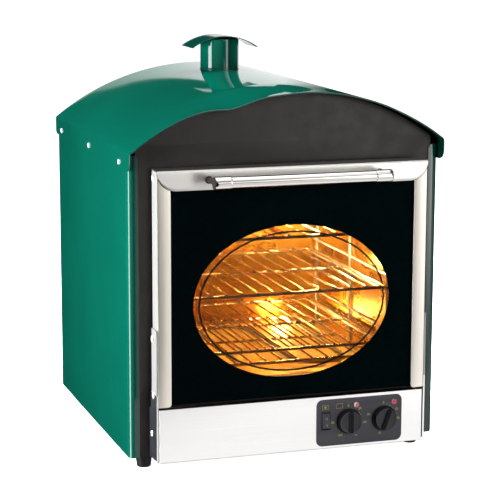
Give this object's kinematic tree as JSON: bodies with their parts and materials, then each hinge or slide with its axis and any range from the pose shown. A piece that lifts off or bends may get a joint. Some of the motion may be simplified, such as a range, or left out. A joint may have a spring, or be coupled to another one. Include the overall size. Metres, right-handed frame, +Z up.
{
  "type": "baked potato oven",
  "caption": "Counter-top baked potato oven with an arched green canopy, a capped flue pipe, a drop-down glass door with an oval window, wire shelves and a front console.",
  "frame": {"origin": "centre of the bounding box's footprint, on the surface that the feet stand on", "axes": "+Z up, +X to the right as seen from the front, +Y from the door towards the back"},
  "size_m": [0.4564, 0.5131, 0.571],
  "materials": {
    "green_enamel": "gloss stove enamel",
    "bright_screws": "polished",
    "satin_steel": "satin",
    "black_enamel": "satin",
    "galvanised": "zinc coated",
    "polished_steel": "fine brushed, nearly bright",
    "black_metal": "satin",
    "black_plastic": "fine matt",
    "knob_plastic": "satin",
    "shaft_steel": "turned",
    "foot_rubber": "matt",
    "wool": "mineral wool",
    "seal_rubber": "silicone",
    "chromed_wire": "bright plated",
    "element_sheath": "heat darkened",
    "lamp_body": "satin",
    "lamp_glass": "frosted",
    "copper": "drawn copper",
    "clear_glass": "polished",
    "black_print": "fired ceramic ink",
    "label_grey": "satin film",
    "lamp_red": "translucent",
    "control_case": "satin",
    "terminal_cream": "satin"
  },
  "bodies": {
    "cabinet": {"side_panel_left": "green_enamel", "side_panel_right": "green_enamel", "roof_canopy": "green_enamel", "roof_screws": "bright_screws", "flue_pipe": "green_enamel", "flue_cap": "green_enamel", "cap_straps": "satin_steel", "front_fascia": "black_enamel", "back_panel": "galvanised", "back_panel_screws": "bright_screws", "base_panel": "galvanised", "cable_gland": "black_plastic", "feet": "foot_rubber", "foot_screws": "bright_screws", "oven_floor": "satin_steel", "oven_ceiling": "satin_steel", "oven_side_left": "satin_steel", "oven_side_right": "satin_steel", "oven_back": "satin_steel", "flue_duct": "satin_steel", "insulation": "wool", "rack_left": "chromed_wire", "rack_right": "chromed_wire", "floor_grid": "chromed_wire", "element_top": "element_sheath", "element_bottom": "element_sheath", "lamp_housings": "lamp_body", "lamp_lenses": "lamp_glass", "thermostat_phial": "copper", "hinge_plates": "polished_steel", "hinge_bolts": "bright_screws", "console_front": "polished_steel", "console_deck": "black_enamel", "label_plate": "label_grey", "rocker_bezel": "black_plastic", "indicator_lamps": "lamp_red", "thermostat_body": "control_case", "timer_body": "control_case", "terminal_block": "terminal_cream"},
    "door": {"door_stile_left": "polished_steel", "door_stile_right": "polished_steel", "door_top_rail": "polished_steel", "door_bottom_channel": "black_enamel", "door_glass_outer": "clear_glass", "door_print": "black_print", "door_glass_inner": "clear_glass", "door_seal": "seal_rubber", "handle_tube": "polished_steel", "handle_sleeves": "polished_steel", "handle_brackets": "black_metal", "door_screws": "bright_screws", "hinge_bushes": "satin_steel"},
    "thermostat_dial": {"thermostat_knob": "knob_plastic", "thermostat_shaft": "shaft_steel"},
    "timer_dial": {"timer_knob": "knob_plastic", "timer_shaft": "shaft_steel"},
    "rocker": {"rocker_button": "black_plastic"},
    "shelf_upper": {"shelf_upper": "chromed_wire"},
    "shelf_middle": {"shelf_middle": "chromed_wire"},
    "shelf_lower": {"shelf_lower": "chromed_wire"}
  },
  "joints": [
    {"name": "door_hinge", "type": "hinge", "parent": "cabinet", "child": "door", "pos_m": [0, -0.20045, 0.1115], "axis": [1, 0, 0], "range_deg": [0, 90]},
    {"name": "thermostat_turn", "type": "hinge", "parent": "cabinet", "child": "thermostat_dial", "pos_m": [0.0815, -0.22145, 0.0565], "axis": [0, 1, 0], "range_deg": [0, 300]},
    {"name": "timer_turn", "type": "hinge", "parent": "cabinet", "child": "timer_dial", "pos_m": [0.1343, -0.22145, 0.0565], "axis": [0, 1, 0], "range_deg": [-20, 300]},
    {"name": "rocker_tip", "type": "hinge", "parent": "cabinet", "child": "rocker", "pos_m": [0.0478, -0.21025, 0.0587], "axis": [1, 0, 0], "range_deg": [0, 16]},
    {"name": "shelf_upper_slide", "type": "slide", "parent": "cabinet", "child": "shelf_upper", "axis": [0, -1, 0], "range_m": [0, 0.18]},
    {"name": "shelf_middle_slide", "type": "slide", "parent": "cabinet", "child": "shelf_middle", "axis": [0, -1, 0], "range_m": [0, 0.15]},
    {"name": "shelf_lower_slide", "type": "slide", "parent": "cabinet", "child": "shelf_lower", "axis": [0, -1, 0], "range_m": [0, 0.1]}
  ],
  "couplings": [
    {"joint": "shelf_upper_slide", "follows": "door_hinge", "m_per_rad": 0.11458},
    {"joint": "shelf_middle_slide", "follows": "door_hinge", "m_per_rad": 0.095483},
    {"joint": "shelf_lower_slide", "follows": "door_hinge", "m_per_rad": 0.063656}
  ]
}
